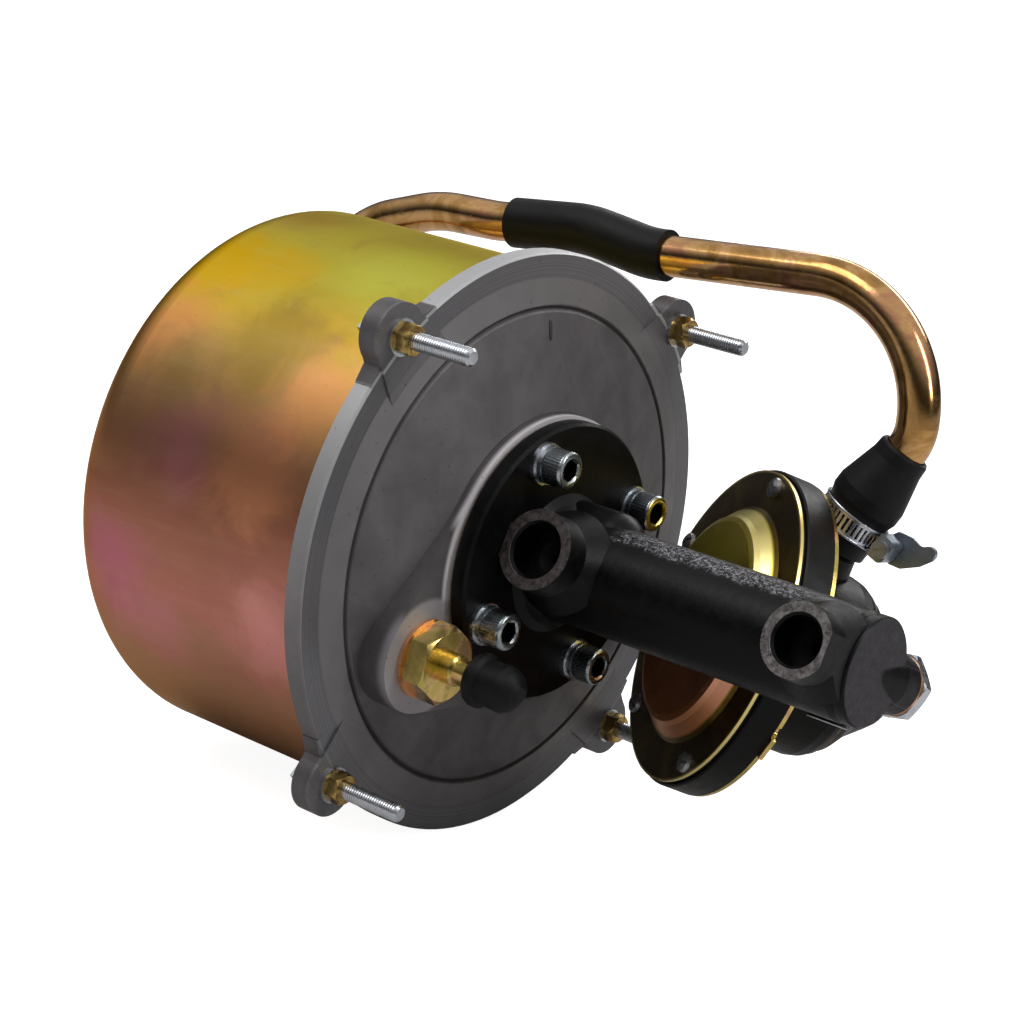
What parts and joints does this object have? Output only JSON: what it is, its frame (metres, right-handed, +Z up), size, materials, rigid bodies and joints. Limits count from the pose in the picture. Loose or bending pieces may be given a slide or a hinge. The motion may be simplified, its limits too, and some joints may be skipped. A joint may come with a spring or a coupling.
{
  "type": "brake booster",
  "caption": "Remote vacuum brake booster: pressed shell, cast cover with studs, hydraulic cylinder, relay valve, air pipe and vacuum union",
  "frame": {"origin": "on the booster axis, in the plane of the cover's outer ring", "axes": "+X along the booster axis from the pressed shell to the hydraulic cylinder, +Z up as the object rests in use"},
  "size_m": [0.3198, 0.2189, 0.2194],
  "materials": {
    "zinc_shell": "yellow passivated zinc",
    "cast_aluminium": "as cast, dull",
    "black_casting": "black enamel",
    "bright_zinc": "bright zinc",
    "yellow_zinc": "yellow zinc",
    "steel": "machined",
    "spring_steel": "oiled",
    "rubber": "matte",
    "copper": "annealed",
    "fibre": "oiled",
    "brass": "machined"
  },
  "bodies": {
    "booster": {"rear_shell": "zinc_shell", "shell_seal": "rubber", "front_cover": "cast_aluminium", "tie_studs": "bright_zinc", "tie_washers": "bright_zinc", "tie_nuts": "yellow_zinc", "return_spring": "spring_steel", "rod_guide": "brass", "rod_seal": "rubber", "guide_clip": "spring_steel", "hydraulic_cylinder": "black_casting", "cylinder_gasket": "fibre", "flange_screws": "bright_zinc", "flange_washers": "bright_zinc", "flange_spring_washers": "bright_zinc", "port_seats": "brass", "relay_housing": "black_casting", "seat_plate": "yellow_zinc", "dome_cover": "zinc_shell", "cover_screws": "bright_zinc", "relay_diaphragm": "rubber", "relay_spring": "spring_steel", "valve_body": "black_casting", "housing_screws": "bright_zinc", "body_screws": "bright_zinc", "body_gasket": "fibre", "plug_washer": "copper", "hex_plug": "bright_zinc", "vacuum_union": "yellow_zinc", "union_washer": "copper", "check_seat": "brass", "check_spring": "spring_steel", "valve_hose": "rubber", "clamp_band": "bright_zinc", "clamp_housing": "bright_zinc", "front_pipe": "yellow_zinc", "rear_pipe": "yellow_zinc", "pipe_sleeve": "rubber", "shell_grommet": "rubber"},
    "power_piston": {"power_piston_plate": "steel", "power_piston_cup": "fibre", "power_piston_retainer": "steel", "rod_nut": "bright_zinc", "push_rod": "steel", "piston_pin": "steel", "hydraulic_piston": "steel", "piston_cup": "rubber", "check_retainer": "steel"},
    "ball": {"check_ball": "steel"},
    "relay": {"relay_piston": "steel", "relay_cup": "rubber", "relay_poppet": "rubber", "diaphragm_plates": "steel"},
    "check_valve": {"check_disc": "brass"},
    "cap": {"dust_cap": "rubber"},
    "clamp_lever": {"clamp_screw": "bright_zinc"}
  },
  "joints": [
    {"name": "power_stroke", "type": "slide", "parent": "booster", "child": "power_piston", "axis": [1, 0, 0], "range_m": [0, 0.06], "stiffness_N_per_m": 1200, "springref_m": -0.03, "deforming": ["return_spring"]},
    {"name": "ball_lift", "type": "slide", "parent": "power_piston", "child": "ball", "axis": [1, 0, 0], "range_m": [0, 0.0016]},
    {"name": "relay_stroke", "type": "slide", "parent": "booster", "child": "relay", "axis": [-0.5779, -0.7717, 0.2657], "range_m": [0, 0.003], "stiffness_N_per_m": 1500, "springref_m": -0.002, "deforming": ["relay_spring", "relay_diaphragm"]},
    {"name": "check_lift", "type": "slide", "parent": "booster", "child": "check_valve", "axis": [1, 0, 0], "range_m": [0, 0.0025], "stiffness_N_per_m": 60, "springref_m": -0.002, "deforming": ["check_spring"]},
    {"name": "cap_pull", "type": "slide", "parent": "booster", "child": "cap", "axis": [1, 0, 0], "range_m": [0, 0.02]},
    {"name": "clamp_turn", "type": "hinge", "parent": "booster", "child": "clamp_lever", "pos_m": [0.09997, 0.08324, 0.01947], "axis": [-0.1677, 0.9784, -0.1208], "range_deg": [-25, 95]}
  ]
}
